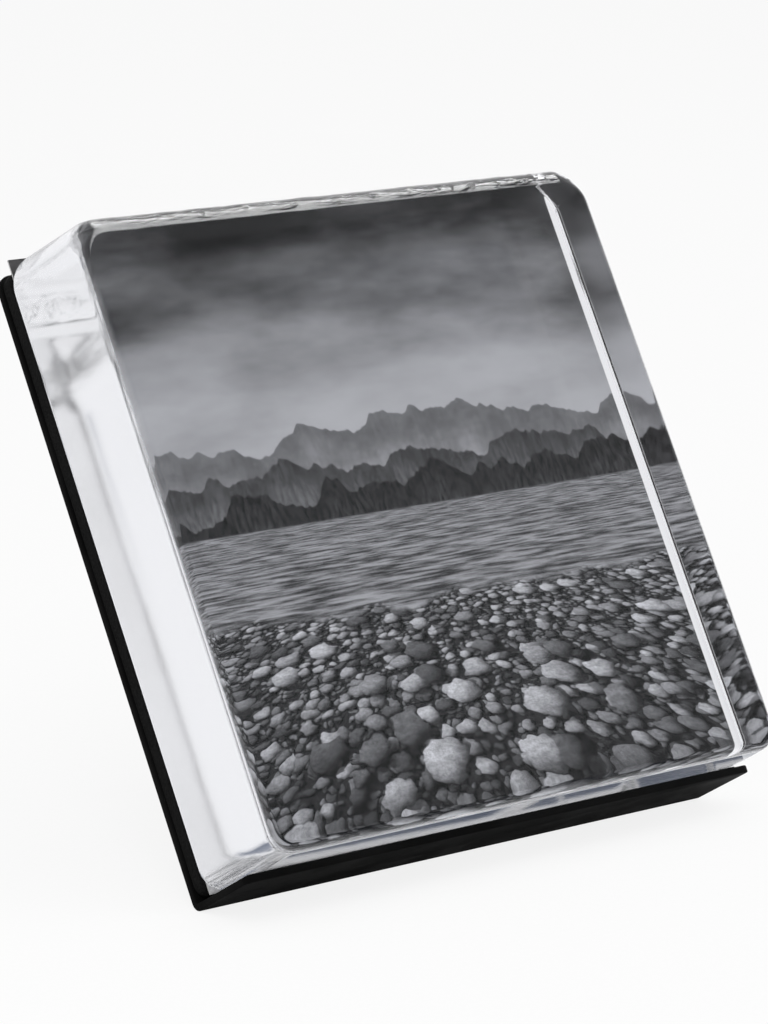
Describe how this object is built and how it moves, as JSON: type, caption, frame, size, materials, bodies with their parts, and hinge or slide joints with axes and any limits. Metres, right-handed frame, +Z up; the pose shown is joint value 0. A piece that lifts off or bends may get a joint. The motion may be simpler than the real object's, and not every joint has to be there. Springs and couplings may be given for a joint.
{
  "type": "glass photo block",
  "caption": "Thick clear glass block that holds a loose print against a felt-faced black L-shaped holder, which leans back on a folding rear strut.",
  "frame": {"origin": "centre of the base on the table: midway across the glass block's width, and midway between the glass's front edge and the strut's foot", "axes": "+Z up, the picture faces -Y and leans back, +X to the right seen from the front"},
  "size_m": [0.1282, 0.0954, 0.1261],
  "materials": {
    "glass": "clear, fire polished, faintly wavy",
    "print": "matt black and white print on card",
    "board": "black felt on board",
    "black_steel": "satin black powder coat",
    "felt": "black felt",
    "hinge_steel": "black oxide",
    "bright_steel": "plain steel",
    "foot_rubber": "matt black rubber"
  },
  "bodies": {
    "holder": {"holder": "black_steel", "backing_board": "board", "ledge_felt": "felt", "hinge_leaf": "hinge_steel", "hinge_pin": "bright_steel", "holder_rivets": "bright_steel"},
    "strut": {"strut": "black_steel", "strut_leaf": "hinge_steel", "strut_rivets": "bright_steel", "strut_foot": "foot_rubber"},
    "glass": {"glass_block": "glass"},
    "print": {"photo_print": "print"}
  },
  "joints": [
    {"name": "strut_fold", "type": "hinge", "parent": "holder", "child": "strut", "pos_m": [-0.00125, 0.02172, 0.0702], "axis": [-1, 0, 0], "range_deg": [0, 48]},
    {"name": "glass_lift", "type": "slide", "parent": "holder", "child": "glass", "axis": [0, -0.8572, 0.515], "range_m": [0, 0.04]},
    {"name": "print_pull", "type": "slide", "parent": "holder", "child": "print", "axis": [0, 0.515, 0.8572], "range_m": [0, 0.06]}
  ]
}
